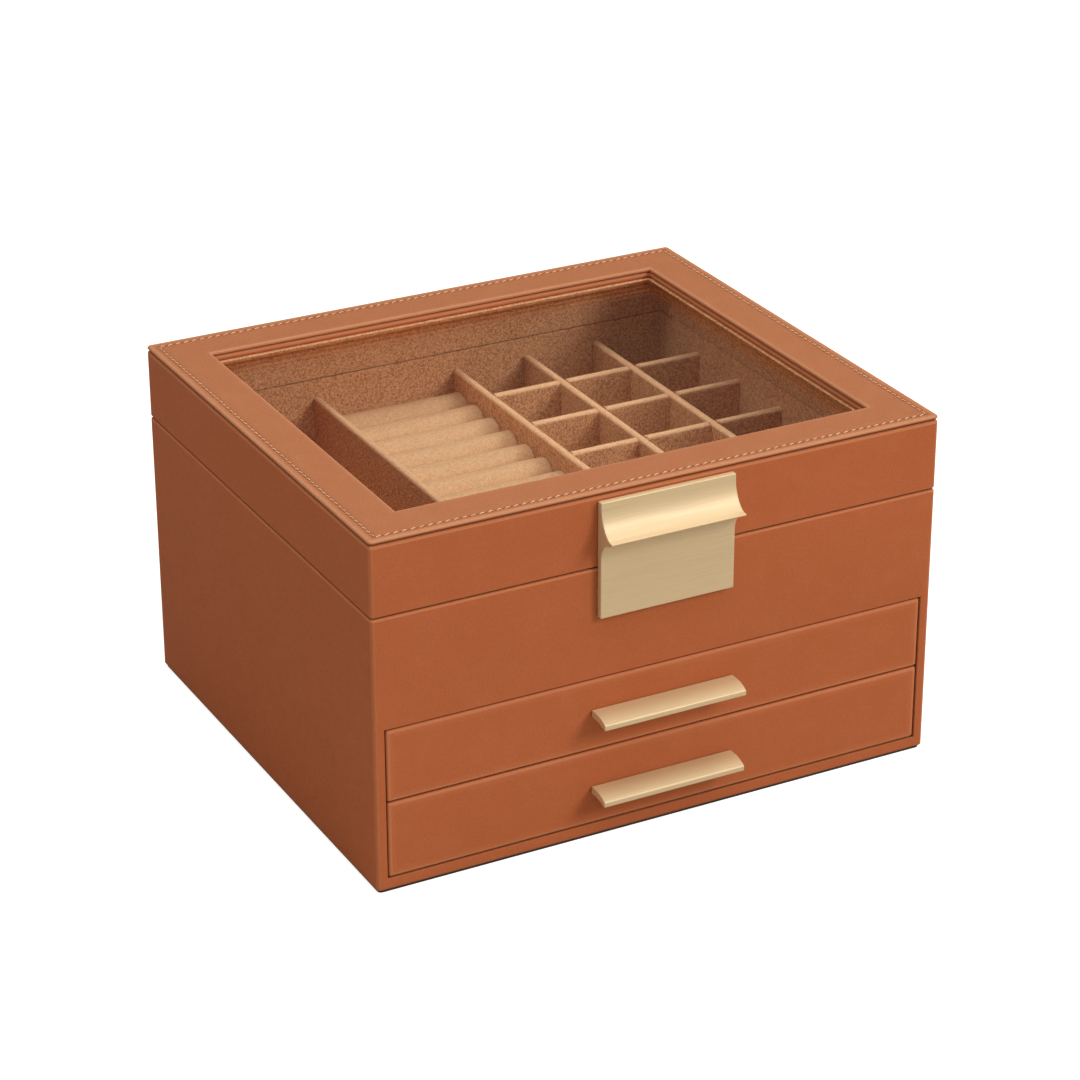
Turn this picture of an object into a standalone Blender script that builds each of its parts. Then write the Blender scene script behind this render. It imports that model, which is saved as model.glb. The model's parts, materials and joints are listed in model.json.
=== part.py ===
"""Leather jewellery case with a glazed lifting lid, a fitted tray and two drawers.

Frame: metres, +Z up, the front faces -Y.  The origin is the centre of the
bottom face, on the surface that the case stands on.

The case is a carcase of boards wrapped in leather.  The upper compartment is
lined in velvet and holds a ring cushion, an open well and a grid of cells made
from half-lapped dividers.  The lid is a framed glass pane on two butt hinges
and is held shut by a latch plate with a magnet.  Two drawers slide under the
compartment, each with a lip pull screwed on from behind.
"""
import math

import bmesh
import bpy
from mathutils import Matrix, Vector

MM = 0.001

# ---- driving dimensions, in millimetres -------------------------------------
WIDTH = 230.0            # outer width, along X
DEPTH = 200.0            # outer depth, along Y
HEIGHT = 138.0           # top face of the lid
SEAM_Z = 108.6           # parting plane between the case and the lid
SEAM_GAP = 0.6           # open gap at the parting plane
LEATHER = 0.8            # leather thickness
LAMINATE = 0.15          # gap left between glued layers
BOARD = 3.05             # carcase board thickness
CORNER_R = 1.5           # radius of the upright outer corners

FELT_T = 0.9             # felt sheet under the base
SKIN_Z0 = 1.05           # bottom edge of the case leather

DRAWER_X = 110.9         # half width of the drawer opening
DRAWER_Z0, DRAWER_Z1 = 5.35, 65.0
DRAWER_MID_Z = 36.0      # seam between the two drawer fronts
FRONT_GAP = 0.5          # gap round a drawer front
DRAWER_TRAVEL_BACK = 91.5

LINING_X, LINING_Y = 110.85, 95.85    # outside of the compartment lining
LINING_T = 1.25
LINING_Z0, LINING_FLOOR, LIP_Z = 67.55, 68.8, 111.0

DIVIDER_T = 3.0
DIVIDER_TOP = 103.6
LONG_X = (-46.7, 14.9, 46.9, 78.9)    # dividers that run front to back
CROSS_Y = (-64.07, -32.03, 0.0, 32.03, 64.07)
LAP_Z = 86.15            # height at which the half laps meet
LAP_PLAY = 0.25

ROLLS = 13
ROLL_PITCH = 14.52
ROLL_R = 7.5
ROLL_CREST = 96.2

WINDOW_X, WINDOW_Y = 96.0, 81.0       # half size of the opening in the lid
TOP_PANEL_Z = 136.55
LID_TOP_Z = 136.1
GLASS_X, GLASS_Y = 101.5, 86.5
GLASS_Z0, GLASS_Z1 = 130.95, 132.95

HINGE_X = 65.0
HINGE_Y = 101.75
HINGE_HALF = 12.0
BARREL_R = 1.6
BORE_R = 1.0
PIN_R = 0.75
LEAF_Y0, LEAF_Y1 = 100.15, 101.05

LATCH_HALF = 27.25
LATCH_Y = 100.3          # back face of the latch plate
LATCH_T = 2.5
LATCH_Z0, LATCH_Z1 = 89.6, 134.5

HANDLE_HALF = 29.25
HANDLE_Z = {"upper": 52.6, "lower": 21.3}   # top of each pull
HANDLE_SCREW_X = 20.0


# ---- scene ------------------------------------------------------------------
for old in list(bpy.data.objects):
    bpy.data.objects.remove(old, do_unlink=True)

PARTS = bpy.data.collections.new("leather_jewellery_case")
CUTTERS = bpy.data.collections.new("leather_jewellery_case_cutters")
bpy.context.scene.collection.children.link(PARTS)
bpy.context.scene.collection.children.link(CUTTERS)


def material(name, rgb, rough, metallic=0.0, transmission=0.0):
    mat = bpy.data.materials.new(name)
    mat.use_nodes = True
    bsdf = mat.node_tree.nodes["Principled BSDF"]
    bsdf.inputs["Base Color"].default_value = (*rgb, 1.0)
    bsdf.inputs["Roughness"].default_value = rough
    bsdf.inputs["Metallic"].default_value = metallic
    bsdf.inputs["Transmission Weight"].default_value = transmission
    mat.diffuse_color = (*rgb, 1.0)
    return mat


TAN = material("tan_leather", (0.402, 0.109, 0.041), 0.45)
VELVET = material("beige_velvet", (0.565, 0.352, 0.188), 0.9)
ROLL = material("ring_velvet", (0.730, 0.480, 0.275), 0.9)
BOARD_MAT = material("board", (0.330, 0.200, 0.110), 0.8)
FELT = material("black_felt", (0.015, 0.013, 0.012), 0.95)
BRASS = material("champagne_brass", (0.740, 0.545, 0.300), 0.3, 1.0)
STEEL = material("steel", (0.55, 0.55, 0.54), 0.35, 1.0)
GLASS = material("clear_glass", (0.95, 0.97, 0.96), 0.02, 0.0, 1.0)


def empty(name, loc_mm, parent=None):
    e = bpy.data.objects.new(name, None)
    e.empty_display_size = 0.01
    PARTS.objects.link(e)
    e.location = Vector(loc_mm) * MM
    e["world_mm"] = list(loc_mm)
    if parent:
        e.parent = parent
        e.location = (Vector(loc_mm) - Vector(parent["world_mm"])) * MM
    return e


CASE = empty("case_origin", (0.0, 0.0, 0.0))
LID = empty("lid_hinge_axis", (0.0, HINGE_Y, SEAM_Z), CASE)
UPPER = empty("upper_drawer_origin", (0.0, -DEPTH / 2, 50.0), CASE)
LOWER = empty("lower_drawer_origin", (0.0, -DEPTH / 2, 20.0), CASE)


def adopt(obj, parent, mat):
    """Hang obj, whose mesh is in world millimetres scaled to metres, on parent."""
    obj.data.materials.clear()
    obj.data.materials.append(mat)
    obj.parent = parent
    obj.location = -Vector(parent["world_mm"]) * MM
    return obj


def new_object(name, bm, collection):
    mesh = bpy.data.meshes.new(name)
    bm.normal_update()
    bm.to_mesh(mesh)
    bm.free()
    obj = bpy.data.objects.new(name, mesh)
    collection.objects.link(obj)
    return obj


def add_cube(bm, lo, hi):
    lo, hi = Vector(lo) * MM, Vector(hi) * MM
    size = hi - lo
    place = Matrix.Translation((lo + hi) / 2) @ Matrix.Diagonal((size.x, size.y, size.z, 1.0))
    return bmesh.ops.create_cube(bm, size=1.0, matrix=place)["verts"]


def block(name, lo, hi, mat, parent, corner=0.0):
    """A board or a sheet: a cube, with its upright edges rounded if asked."""
    bm = bmesh.new()
    add_cube(bm, lo, hi)
    if corner:
        upright = [e for e in bm.edges
                   if abs(e.verts[0].co.x - e.verts[1].co.x) < 1e-9
                   and abs(e.verts[0].co.y - e.verts[1].co.y) < 1e-9]
        bmesh.ops.bevel(bm, geom=upright, offset=corner * MM, segments=3,
                        profile=0.5, affect='EDGES')
    return adopt(new_object(name, bm, PARTS), parent, mat)


def boolean(obj, cutter, operation):
    cutter.hide_render = True
    cutter.display_type = 'WIRE'
    cutter.parent = obj.parent
    cutter.location = obj.location
    mod = obj.modifiers.new(operation.lower(), 'BOOLEAN')
    mod.operation = operation
    mod.solver = 'EXACT'
    mod.object = cutter
    return obj


def cutter_box(obj, lo, hi):
    bm = bmesh.new()
    add_cube(bm, lo, hi)
    return boolean(obj, new_object(obj.name + "_cut", bm, CUTTERS), 'DIFFERENCE')


def cutter_ring(obj, outer_lo, outer_hi, inner):
    """Cut a rectangular ring: the outer box less an upright core of half size inner."""
    bm = bmesh.new()
    add_cube(bm, outer_lo, outer_hi)
    ring = new_object(obj.name + "_cut", bm, CUTTERS)
    bm = bmesh.new()
    add_cube(bm, (-inner[0], -inner[1], outer_lo[2] - 1.0), (inner[0], inner[1], outer_hi[2] + 1.0))
    core = new_object(obj.name + "_cut_core", bm, CUTTERS)
    core.hide_render = True
    core.display_type = 'WIRE'
    core.parent = obj.parent
    core.location = obj.location
    mod = ring.modifiers.new("core", 'BOOLEAN')
    mod.operation = 'DIFFERENCE'
    mod.solver = 'EXACT'
    mod.object = core
    return boolean(obj, ring, 'DIFFERENCE')


def cylinder_mesh(centre, radius, length, axis, segments, radius2=None):
    """A cylinder or cone about centre, along +X, +Y or +Z; radius2 is the +axis end."""
    turn = {"X": Matrix.Rotation(math.pi / 2, 4, 'Y'),
            "Y": Matrix.Rotation(-math.pi / 2, 4, 'X'),
            "Z": Matrix.Identity(4)}[axis]
    bm = bmesh.new()
    bmesh.ops.create_cone(bm, cap_ends=True, cap_tris=False, segments=segments,
                          radius1=radius * MM,
                          radius2=(radius if radius2 is None else radius2) * MM,
                          depth=length * MM,
                          matrix=Matrix.Translation(Vector(centre) * MM) @ turn)
    return bm


def cutter_cylinder(obj, centre, radius, length, axis, segments=12, radius2=None):
    bm = cylinder_mesh(centre, radius, length, axis, segments, radius2)
    return boolean(obj, new_object(obj.name + "_bore", bm, CUTTERS), 'DIFFERENCE')


def disc(name, centre, radius, length, axis, mat, parent, segments=24):
    bm = cylinder_mesh(centre, radius, length, axis, segments)
    obj = adopt(new_object(name, bm, PARTS), parent, mat)
    obj.data.shade_smooth()
    obj.data.set_sharp_from_angle(angle=math.radians(40))
    return obj


def turned(name, profile, base, axis, mat, parent, steps=12):
    """A turned piece.  profile is (radius, height) pairs from the top of the axis
    down the outside to the bottom; it is spun about Z, then laid along axis, a
    unit vector, with height 0 at base."""
    mesh = bpy.data.meshes.new(name)
    mesh.from_pydata([(r * MM, 0.0, h * MM) for r, h in profile],
                     [(i, i + 1) for i in range(len(profile) - 1)], [])
    obj = bpy.data.objects.new(name, mesh)
    PARTS.objects.link(obj)
    mod = obj.modifiers.new("turn", 'SCREW')
    mod.axis = 'Z'
    mod.steps = steps
    mod.render_steps = steps
    mod.use_merge_vertices = True
    mod.merge_threshold = 0.00001
    mod.use_smooth_shade = True
    mesh.materials.append(mat)
    obj.parent = parent
    obj.location = (Vector(base) - Vector(parent["world_mm"])) * MM
    obj.rotation_euler = Vector((0, 0, 1)).rotation_difference(Vector(axis)).to_euler()
    return obj


def extruded(name, outline, x0, x1, mat, parent):
    """A flat outline of (y, z) points, extruded along X from x0 to x1."""
    curve = bpy.data.curves.new(name, 'CURVE')
    curve.dimensions = '2D'
    curve.fill_mode = 'BOTH'
    curve.extrude = (x1 - x0) / 2 * MM
    spline = curve.splines.new('POLY')
    spline.points.add(len(outline) - 1)
    for point, (y, z) in zip(spline.points, outline):
        point.co = (y * MM, z * MM, 0.0, 1.0)
    spline.use_cyclic_u = True
    drawn = bpy.data.objects.new(name + "_outline", curve)
    PARTS.objects.link(drawn)
    to_world = Matrix(((0, 0, 1, (x0 + x1) / 2 * MM), (1, 0, 0, 0), (0, 1, 0, 0), (0, 0, 0, 1)))
    bpy.context.view_layer.update()
    solid = bpy.data.meshes.new_from_object(
        drawn.evaluated_get(bpy.context.evaluated_depsgraph_get()))
    bpy.data.objects.remove(drawn, do_unlink=True)
    bm = bmesh.new()
    bm.from_mesh(solid)
    bpy.data.meshes.remove(solid)
    bmesh.ops.remove_doubles(bm, verts=bm.verts, dist=1e-6)
    bm.transform(to_world)
    bmesh.ops.recalc_face_normals(bm, faces=bm.faces)
    return adopt(new_object(name, bm, PARTS), parent, mat)


HX, HY = WIDTH / 2, DEPTH / 2
INNER_X, INNER_Y = HX - LEATHER, HY - LEATHER              # inside of the leather
BX, BY = INNER_X - LAMINATE, INNER_Y - LAMINATE            # outside of the boards
WALL_X, WALL_Y = BX - BOARD, BY - BOARD                    # inside of the boards


# ---- case: carcase, leather and feet ----------------------------------------
block("base_felt", (-INNER_X, -INNER_Y, 0.0), (INNER_X, INNER_Y, FELT_T), FELT, CASE, CORNER_R)
block("bottom_board", (-WALL_X + LAMINATE, -BY, SKIN_Z0), (WALL_X - LAMINATE, BY, 5.05), BOARD_MAT, CASE)
CASE_TOP = SEAM_Z - SEAM_GAP / 2
BOARD_TOP = CASE_TOP - LEATHER - LAMINATE
for side, sx in (("left", -1), ("right", 1)):
    xs = sorted((sx * WALL_X, sx * BX))
    block("side_board_" + side, (xs[0], -BY, SKIN_Z0), (xs[1], BY, BOARD_TOP), BOARD_MAT, CASE)
back_board = block("back_board", (-WALL_X + LAMINATE, WALL_Y, 5.2), (WALL_X - LAMINATE, BY, BOARD_TOP),
                   BOARD_MAT, CASE)
front_rail = block("front_rail", (-WALL_X + LAMINATE, -BY, DRAWER_Z1 + 0.15),
                   (WALL_X - LAMINATE, -WALL_Y, BOARD_TOP), BOARD_MAT, CASE)

case_leather = block("case_leather", (-HX, -HY, SKIN_Z0), (HX, HY, CASE_TOP), TAN, CASE, CORNER_R)
cutter_box(case_leather, (-INNER_X, -INNER_Y, 0.0), (INNER_X, INNER_Y, CASE_TOP - LEATHER))
cutter_box(case_leather, (-WALL_X, -WALL_Y, CASE_TOP - 2.0), (WALL_X, WALL_Y, CASE_TOP + 2.0))
cutter_box(case_leather, (-DRAWER_X, -HY - 1.0, DRAWER_Z0), (DRAWER_X, -HY + 2.0, DRAWER_Z1))

block("compartment_floor", (-WALL_X + LAMINATE, -WALL_Y + 0.15, 64.4),
      (WALL_X - LAMINATE, WALL_Y - 0.15, 67.4), BOARD_MAT, CASE)
block("drawer_shelf", (-WALL_X + LAMINATE, -95.4, 34.6), (WALL_X - LAMINATE, WALL_Y - 0.15, 37.4),
      BOARD_MAT, CASE)

lining = block("compartment_lining", (-LINING_X, -LINING_Y, LINING_Z0), (LINING_X, LINING_Y, LIP_Z),
               VELVET, CASE)
LIN_IN_X, LIN_IN_Y = LINING_X - LINING_T, LINING_Y - LINING_T
cutter_box(lining, (-LIN_IN_X, -LIN_IN_Y, LINING_FLOOR), (LIN_IN_X, LIN_IN_Y, LIP_Z + 5.0))

# ---- case: dividers, half-lapped where they cross ---------------------------
DIV_Z0 = LINING_FLOOR + 0.15
for i, x in enumerate(LONG_X):
    div = block("divider_long_%d" % (i + 1), (x - DIVIDER_T / 2, -LIN_IN_Y + 0.2, DIV_Z0),
                (x + DIVIDER_T / 2, LIN_IN_Y - 0.2, DIVIDER_TOP), VELVET, CASE)
    if i >= 2:
        for y in CROSS_Y:
            half = DIVIDER_T / 2 + LAP_PLAY
            cutter_box(div, (x - 5, y - half, DIV_Z0 - 5), (x + 5, y + half, LAP_Z + 0.15))
CROSS_X0 = LONG_X[1] + DIVIDER_T / 2 + 0.15
for i, y in enumerate(CROSS_Y):
    div = block("divider_cross_%d" % (i + 1), (CROSS_X0, y - DIVIDER_T / 2, DIV_Z0),
                (LIN_IN_X - 0.2, y + DIVIDER_T / 2, DIVIDER_TOP), VELVET, CASE)
    for x in LONG_X[2:]:
        half = DIVIDER_T / 2 + LAP_PLAY
        cutter_box(div, (x - half, y - 5, LAP_Z - 0.15), (x + half, y + 5, DIVIDER_TOP + 5))

# ---- case: ring cushion, a row of padded rolls ------------------------------
def roll_outline():
    y_end = LIN_IN_Y - 0.2
    centre_z = ROLL_CREST - ROLL_R
    pts = [(-y_end, DIV_Z0 + 0.1)]
    pts.append((y_end, DIV_Z0 + 0.1))
    half = math.asin(min(1.0, ROLL_PITCH / 2 / ROLL_R))
    for k in range(ROLLS - 1, -1, -1):
        yc = (k - (ROLLS - 1) / 2) * ROLL_PITCH
        for s in range(9):
            if k < ROLLS - 1 and s == 0:
                continue
            a = half - 2 * half * s / 8
            y = min(max(yc + ROLL_R * math.sin(a), -y_end), y_end)
            pts.append((y, centre_z + ROLL_R * math.cos(a)))
    return pts


extruded("ring_cushion", roll_outline(), LONG_X[0] + DIVIDER_T / 2 + 0.2,
         LONG_X[1] - DIVIDER_T / 2 - 0.2, ROLL, CASE)

# ---- case: steel plate behind the leather, which the magnet holds -----------
MAGNET_Z = 98.0
disc("catch_plate", (0.0, -98.4, MAGNET_Z), 6.0, 1.0, "Y", STEEL, CASE)
cutter_cylinder(front_rail, (0.0, -98.9, MAGNET_Z), 6.4, 2.6, "Y", 24)

# ---- lid --------------------------------------------------------------------
LID_Z0 = SEAM_Z + SEAM_GAP / 2
# the panel is glued down on a bed; a narrow groove runs round its outer and window edges
BED_Z, GROOVE = LID_TOP_Z + 0.1, 1.2
top_panel = block("lid_top_panel", (-HX, -HY, BED_Z), (HX, HY, HEIGHT), TAN, LID, CORNER_R)
cutter_box(top_panel, (-WINDOW_X, -WINDOW_Y, BED_Z - 2), (WINDOW_X, WINDOW_Y, HEIGHT + 2))
cutter_ring(top_panel, (-HX - 5, -HY - 5, BED_Z - 2), (HX + 5, HY + 5, TOP_PANEL_Z),
            (HX - GROOVE, HY - GROOVE))
cutter_box(top_panel, (-WINDOW_X - 0.8, -WINDOW_Y - 0.8, BED_Z - 2),
           (WINDOW_X + 0.8, WINDOW_Y + 0.8, TOP_PANEL_Z))

lid_leather = block("lid_leather", (-HX, -HY, LID_Z0), (HX, HY, LID_TOP_Z), TAN, LID, CORNER_R)
RETURN_Z = 133.9
cutter_box(lid_leather, (-INNER_X, -INNER_Y, LID_Z0 + LEATHER), (INNER_X, INNER_Y, RETURN_Z))
cutter_ring(lid_leather, (-INNER_X, -INNER_Y, RETURN_Z - 1.0), (INNER_X, INNER_Y, LID_TOP_Z - LEATHER),
            (WINDOW_X + LEATHER, WINDOW_Y + LEATHER))
cutter_box(lid_leather, (-WINDOW_X, -WINDOW_Y, RETURN_Z - 2), (WINDOW_X, WINDOW_Y, LID_TOP_Z + 2))
LID_WALL_X, LID_WALL_Y = 111.3, 96.3
cutter_box(lid_leather, (-LID_WALL_X, -LID_WALL_Y, LID_Z0 - 2), (LID_WALL_X, LID_WALL_Y, LID_Z0 + 2))

CORE_Z0, CORE_Z1 = LID_Z0 + LEATHER + LAMINATE, LID_TOP_Z - LEATHER - LAMINATE
lid_core = block("lid_core", (-BX, -BY, CORE_Z0), (BX, BY, CORE_Z1), BOARD_MAT, LID)
cutter_box(lid_core, (-LID_WALL_X, -LID_WALL_Y, CORE_Z0 - 2), (LID_WALL_X, LID_WALL_Y, CORE_Z1 + 2))

frame_board = block("lid_frame_board", (-111.15, -96.15, GLASS_Z0), (111.15, 96.15, CORE_Z1), BOARD_MAT, LID)
cutter_box(frame_board, (-WINDOW_X - 0.95, -WINDOW_Y - 0.95, GLASS_Z0 - 2),
           (WINDOW_X + 0.95, WINDOW_Y + 0.95, CORE_Z1 + 2))
cutter_box(frame_board, (-GLASS_X - 0.3, -GLASS_Y - 0.3, GLASS_Z0 - 2),
           (GLASS_X + 0.3, GLASS_Y + 0.3, 133.95))

gasket = block("window_gasket", (-GLASS_X, -GLASS_Y, 133.1), (GLASS_X, GLASS_Y, 133.75), VELVET, LID)
cutter_box(gasket, (-WINDOW_X - 0.2, -WINDOW_Y - 0.2, 130), (WINDOW_X + 0.2, WINDOW_Y + 0.2, 136))
block("glass_pane", (-GLASS_X, -GLASS_Y, GLASS_Z0), (GLASS_X, GLASS_Y, GLASS_Z1), GLASS, LID)

SOFFIT_Z0, SOFFIT_Z1 = 129.4, 130.8
lid_lining = block("lid_lining", (-111.15, -96.15, 111.4), (111.15, 96.15, SOFFIT_Z1), VELVET, LID)
cutter_box(lid_lining, (-LIN_IN_X, -LIN_IN_Y, 110), (LIN_IN_X, LIN_IN_Y, SOFFIT_Z0))
cutter_box(lid_lining, (-98.5, -83.5, 120), (98.5, 83.5, 140))


# ---- lid: latch plate, one extruded piece -----------------------------------
def latch_outline():
    """Flat plate, a concave scoop flaring out to a lip, and a fillet under the lip."""
    back, front = -LATCH_Y, -LATCH_Y - LATCH_T
    tip_y, tip_z = -110.7, 122.0
    pts = [(back, LATCH_Z0), (back, LATCH_Z1), (front + 0.3, LATCH_Z1), (front, LATCH_Z1 - 0.4)]
    # scoop: a quarter of an ellipse, upright at the top and 30 degrees at the lip
    a, b = 9.6, 11.6
    y_c, z_c = front - a, 132.6
    for s in range(1, 9):
        t = math.radians(66.0) * s / 8
        pts.append((y_c + a * math.cos(t), z_c - b * math.sin(t)))
    pts.append((tip_y, tip_z - 0.15))
    pts.append((tip_y + 0.25, tip_z - 0.95))
    # fillet under the lip, tangent to the plate
    f_y, f_z, f_r = -108.6, 112.2, 5.8
    for s in range(0, 7):
        t = math.radians(78.0 * (1 - s / 6.0))
        pts.append((min(f_y + f_r * math.cos(t), front), f_z + 1.35 * f_r * math.sin(t) * 0.98))
    pts.append((front, LATCH_Z0 + 0.5))
    pts.append((front + 0.5, LATCH_Z0))
    clean = []
    for p in pts:
        if not clean or math.dist(clean[-1], p) > 0.08:
            clean.append(p)
    return clean


latch = extruded("latch_plate", latch_outline(), -LATCH_HALF, LATCH_HALF, BRASS, LID)
latch.data.shade_smooth()
latch.data.set_sharp_from_angle(angle=math.radians(30))
cutter_cylinder(latch, (0.0, -LATCH_Y - 0.25, MAGNET_Z), 4.3, 3.5, "Y", 24)
disc("latch_magnet", (0.0, -LATCH_Y - 1.0, MAGNET_Z), 4.0, 1.6, "Y", STEEL, LID)
LATCH_SCREW_Z = 125.0
for side, sx in (("left", -1), ("right", 1)):
    x = 18.0 * sx
    # height 0 is the inner face of the lid wall, the shank runs forward
    turned("latch_screw_" + side,
           [(0.0, 0.0), (2.2, 0.0), (2.2, -1.0), (0.9, -1.0), (0.9, -6.0), (0.0, -6.4)],
           (x, -LID_WALL_Y - 0.2, LATCH_SCREW_Z), (0, 1, 0), STEEL, LID)
    cutter_cylinder(lid_core, (x, -LID_WALL_Y + 0.5, LATCH_SCREW_Z), 2.5, 4.0, "Y")
    cutter_cylinder(lid_core, (x, -98.0, LATCH_SCREW_Z), 1.2, 4.0, "Y")
    cutter_cylinder(lid_leather, (x, -HY, LATCH_SCREW_Z), 1.2, 4.0, "Y")
    cutter_cylinder(latch, (x, -LATCH_Y, LATCH_SCREW_Z), 1.2, 6.0, "Y")

# ---- hinges -----------------------------------------------------------------
HINGE_SCREW_DX = 7.5
CASE_SCREW_Z, LID_SCREW_Z = 98.5, 118.5


def knuckle(obj, x_mid, length):
    bm = cylinder_mesh((x_mid, HINGE_Y, SEAM_Z), BARREL_R, length, "X", 16)
    boolean(obj, new_object(obj.name + "_knuckle", bm, CUTTERS), 'UNION')


for side, sx in (("left", -1), ("right", 1)):
    hx = HINGE_X * sx
    case_leaf = block("hinge_%s_case_leaf" % side, (hx - HINGE_HALF, LEAF_Y0, 93.0),
                      (hx + HINGE_HALF, LEAF_Y1, SEAM_Z - 1.0), BRASS, CASE)
    cutter_box(case_leaf, (hx - 4.0, LEAF_Y0 - 1, SEAM_Z - 2.0), (hx + 4.0, LEAF_Y1 + 1, SEAM_Z + 1))
    knuckle(case_leaf, hx - 8.0, 8.0)
    knuckle(case_leaf, hx + 8.0, 8.0)
    cutter_cylinder(case_leaf, (hx, HINGE_Y, SEAM_Z), BORE_R, 30.0, "X", 16)

    lid_leaf = block("hinge_%s_lid_leaf" % side, (hx - HINGE_HALF, LEAF_Y0, SEAM_Z + 1.0),
                     (hx + HINGE_HALF, LEAF_Y1, 124.0), BRASS, LID)
    for s in (-1, 1):
        xs = sorted((hx + s * 3.7, hx + s * 13.0))
        cutter_box(lid_leaf, (xs[0], LEAF_Y0 - 1, SEAM_Z - 1), (xs[1], LEAF_Y1 + 1, SEAM_Z + 2.0))
    knuckle(lid_leaf, hx, 7.4)
    cutter_cylinder(lid_leaf, (hx, HINGE_Y, SEAM_Z), BORE_R, 30.0, "X", 16)

    pin = disc("hinge_%s_pin" % side, (hx, HINGE_Y, SEAM_Z), PIN_R, 23.6, "X", STEEL, CASE, 16)

    for n, dx in enumerate((-HINGE_SCREW_DX, HINGE_SCREW_DX)):
        for leaf, board, skin, z, owner, word in (
                (case_leaf, back_board, case_leather, CASE_SCREW_Z, CASE, "case"),
                (lid_leaf, lid_core, lid_leather, LID_SCREW_Z, LID, "lid")):
            x = hx + dx
            number = (n + 1) if side == "left" else (n + 3)
            # countersunk head flush with the leaf, shank into the board
            turned("hinge_screw_%s_%d" % (word, number),
                   [(0.0, 0.0), (1.55, -0.05), (0.75, -0.85), (0.75, -3.4), (0.0, -3.8)],
                   (x, LEAF_Y1, z), (0, 1, 0), BRASS, owner)
            cutter_cylinder(leaf, (x, LEAF_Y1 - 0.45, z), 1.02, 1.6, "Y", 12, 2.4)
            cutter_cylinder(skin, (x, HY, z), 1.05, 4.0, "Y")
            cutter_cylinder(board, (x, BY, z), 1.05, 4.4, "Y")

# ---- drawers ----------------------------------------------------------------
BOX_X = 110.2
BOX_Y0 = -95.9
WALL = 3.0
FRONT_WALL = 4.0


def handle_outline(top):
    """A lip pull: flat where it meets the drawer, rolling down to a blunt front edge."""
    y0 = -HY - 0.3
    upper = [(y0, top), (-103.0, top), (-105.4, top - 0.1), (-107.4, top - 0.45), (-109.0, top - 1.05),
             (-110.1, top - 1.75)]
    lower = [(-110.3, top - 2.15), (-110.3, top - 3.8), (-109.9, top - 4.05), (-108.2, top - 3.55),
             (-106.2, top - 3.15), (-103.6, top - 2.9), (y0, top - 2.8)]
    return upper + lower


def drawer(word, z0, z1, box_z0, box_z1, parent):
    front = block(word + "_drawer_front", (-DRAWER_X + FRONT_GAP, -HY, z0),
                  (DRAWER_X - FRONT_GAP, -96.2, z1), TAN, parent)
    box = block(word + "_drawer_box", (-BOX_X, BOX_Y0, box_z0), (BOX_X, DRAWER_TRAVEL_BACK, box_z1),
                BOARD_MAT, parent)
    cutter_box(box, (-BOX_X + WALL, BOX_Y0 + FRONT_WALL, box_z0 + 2.0),
               (BOX_X - WALL, DRAWER_TRAVEL_BACK - WALL, box_z1 + 5.0))
    lx, ly0, ly1 = BOX_X - WALL - 0.15, BOX_Y0 + FRONT_WALL + 0.15, DRAWER_TRAVEL_BACK - WALL - 0.15
    lz0, lz1 = box_z0 + 2.15, box_z1 - 0.1
    liner = block(word + "_drawer_lining", (-lx, ly0, lz0), (lx, ly1, lz1), VELVET, parent)
    cutter_box(liner, (-lx + 0.9, ly0 + 0.9, lz0 + 0.9), (lx - 0.9, ly1 - 0.9, lz1 + 5.0))
    top = HANDLE_Z[word]
    pull = extruded(word + "_handle", handle_outline(top), -HANDLE_HALF, HANDLE_HALF, BRASS, parent)
    pull.data.shade_smooth()
    pull.data.set_sharp_from_angle(angle=math.radians(35))
    zc = top - 1.4
    for side, sx in (("left", -1), ("right", 1)):
        x = HANDLE_SCREW_X * sx
        turned("%s_handle_screw_%s" % (word, side),
               [(0.0, 0.0), (1.8, 0.0), (1.8, -1.0), (0.7, -1.0), (0.7, -12.2), (0.0, -12.6)],
               (x, BOX_Y0 + FRONT_WALL - 0.3, zc), (0, 1, 0), STEEL, parent)
        cutter_cylinder(box, (x, BOX_Y0 + FRONT_WALL, zc), 2.1, 3.2, "Y")
        cutter_cylinder(box, (x, BOX_Y0, zc), 1.0, 12.0, "Y")
        cutter_cylinder(front, (x, -98.0, zc), 1.0, 12.0, "Y")
        cutter_cylinder(pull, (x, -HY - 0.3, zc), 1.0, 10.0, "Y")
    return lx - 0.9, ly0 + 0.9, ly1 - 0.9, lz0 + 0.9, lz1


in_x, in_y0, in_y1, floor_z, rim_z = drawer(
    "upper", DRAWER_MID_Z + FRONT_GAP / 2, DRAWER_Z1 - FRONT_GAP, 37.8, 62.0, UPPER)
block("upper_drawer_divider", (-1.5, in_y0 + 0.2, floor_z + 0.15), (1.5, in_y1 - 0.2, rim_z - 2.0),
      VELVET, UPPER)
drawer("lower", DRAWER_Z0 + FRONT_GAP, DRAWER_MID_Z - FRONT_GAP / 2, 5.45, 33.8, LOWER)
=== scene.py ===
import json
import math

import bmesh
import bpy
import numpy as np
from mathutils import Matrix, Vector, noise

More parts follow.
